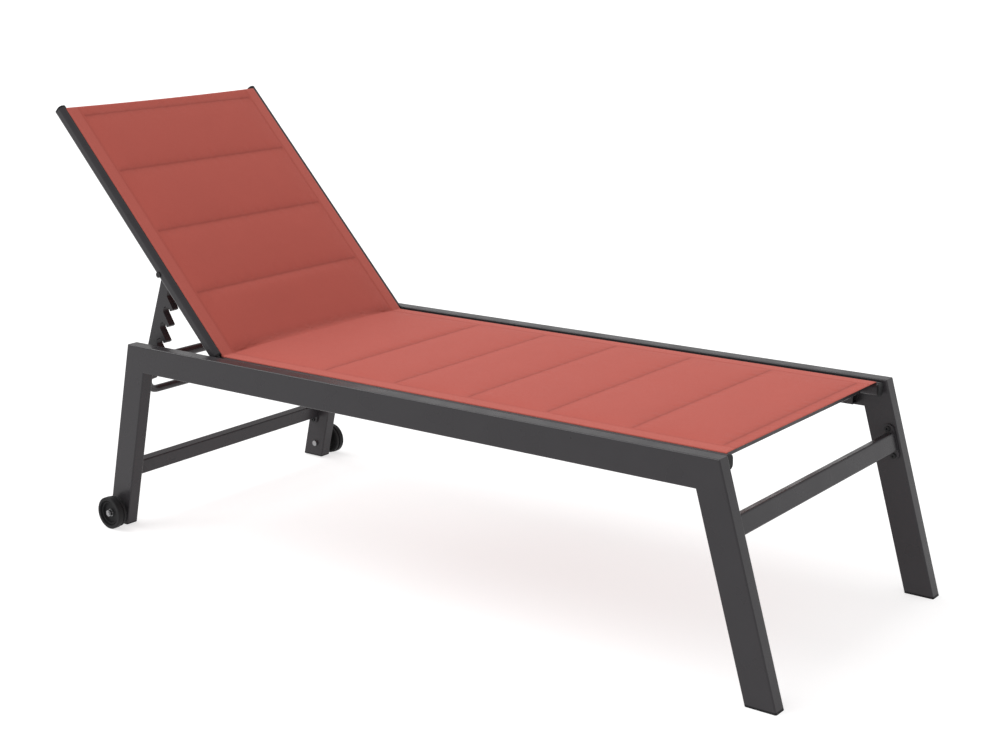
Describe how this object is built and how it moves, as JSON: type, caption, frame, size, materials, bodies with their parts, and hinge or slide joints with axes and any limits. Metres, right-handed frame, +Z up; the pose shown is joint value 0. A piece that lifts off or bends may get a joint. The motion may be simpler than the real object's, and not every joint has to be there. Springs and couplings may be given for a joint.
{
  "type": "sun lounger",
  "caption": "Low reclining sun lounger with bent-leg tube side frames, a quilted sling seat and backrest, a notched prop under the backrest and transport wheels at the head end.",
  "frame": {"origin": "on the floor, under the middle of the whole object", "axes": "+Z up, +Y from the foot end towards the head end, +X to the right seen from the foot end"},
  "size_m": [0.7068, 1.7594, 0.8932],
  "materials": {
    "frame_coating": "fine matt anthracite powder coat",
    "sling": "woven coral textilene, padded and quilted",
    "keder": "smooth",
    "plastic": "fine moulded texture",
    "wheel": "moulded",
    "black_bolts": "black",
    "steel": "zinc plated"
  },
  "bodies": {
    "frame": {"side_rail_left": "frame_coating", "side_rail_right": "frame_coating", "foot_leg_left": "frame_coating", "foot_leg_right": "frame_coating", "head_leg_left": "frame_coating", "head_leg_right": "frame_coating", "foot_glide_left": "plastic", "foot_glide_right": "plastic", "head_leg_plug_left": "plastic", "head_leg_plug_right": "plastic", "foot_crossbar": "frame_coating", "foot_crossbar_plates": "frame_coating", "foot_crossbar_bolts": "black_bolts", "foot_crossbar_inserts": "steel", "head_crossbar": "frame_coating", "head_crossbar_plates": "frame_coating", "head_crossbar_bolts": "black_bolts", "head_crossbar_inserts": "steel", "seat_spreader_foot": "frame_coating", "seat_spreader_middle": "frame_coating", "seat_spreader_head": "frame_coating", "support_brackets_left": "frame_coating", "support_brackets_right": "frame_coating", "bracket_screws": "steel", "prop_bar": "frame_coating", "prop_bar_flanges": "frame_coating", "prop_bar_screws": "steel", "seat_rail_left": "frame_coating", "seat_rail_right": "frame_coating", "seat_rail_caps": "plastic", "seat_hinge_plug_left": "plastic", "seat_hinge_plug_right": "plastic", "seat_keder_left": "keder", "seat_keder_right": "keder", "seat_sling": "sling", "wheel_bolts": "steel", "wheel_spacers": "plastic", "wheel_washers": "steel", "wheel_nuts": "steel"},
    "backrest": {"back_rail_left": "frame_coating", "back_rail_right": "frame_coating", "back_rail_caps": "plastic", "back_spreader_low": "frame_coating", "back_spreader_middle": "frame_coating", "back_spreader_top": "frame_coating", "back_hinge_fork_left": "plastic", "back_hinge_fork_right": "plastic", "hinge_bolts": "steel", "hinge_nuts": "steel", "back_keder_left": "keder", "back_keder_right": "keder", "back_sling": "sling", "prop_pivot_bolts": "black_bolts", "prop_pivot_spacers": "plastic", "prop_pivot_nuts": "black_bolts"},
    "prop": {"prop_ladder_left": "frame_coating", "prop_ladder_right": "frame_coating", "prop_tube": "frame_coating"},
    "wheel_left": {"wheel_left": "wheel"},
    "wheel_right": {"wheel_right": "wheel"}
  },
  "joints": [
    {"name": "backrest_hinge", "type": "hinge", "parent": "frame", "child": "backrest", "pos_m": [0, 0.42123, 0.3945], "axis": [1, 0, 0], "range_deg": [-47.5, 0]},
    {"name": "prop_hinge", "type": "hinge", "parent": "backrest", "child": "prop", "pos_m": [0, 0.58151, 0.56054], "axis": [1, 0, 0], "range_deg": [0, 111]},
    {"name": "wheel_left_spin", "type": "hinge", "parent": "frame", "child": "wheel_left", "pos_m": [-0.34, 0.71972, 0.035], "axis": [1, 0, 0], "continuous": true},
    {"name": "wheel_right_spin", "type": "hinge", "parent": "frame", "child": "wheel_right", "pos_m": [0.34, 0.71972, 0.035], "axis": [1, 0, 0], "continuous": true}
  ],
  "couplings": [
    {"joint": "prop_hinge", "follows": "backrest_hinge", "ratio": -2.326}
  ]
}
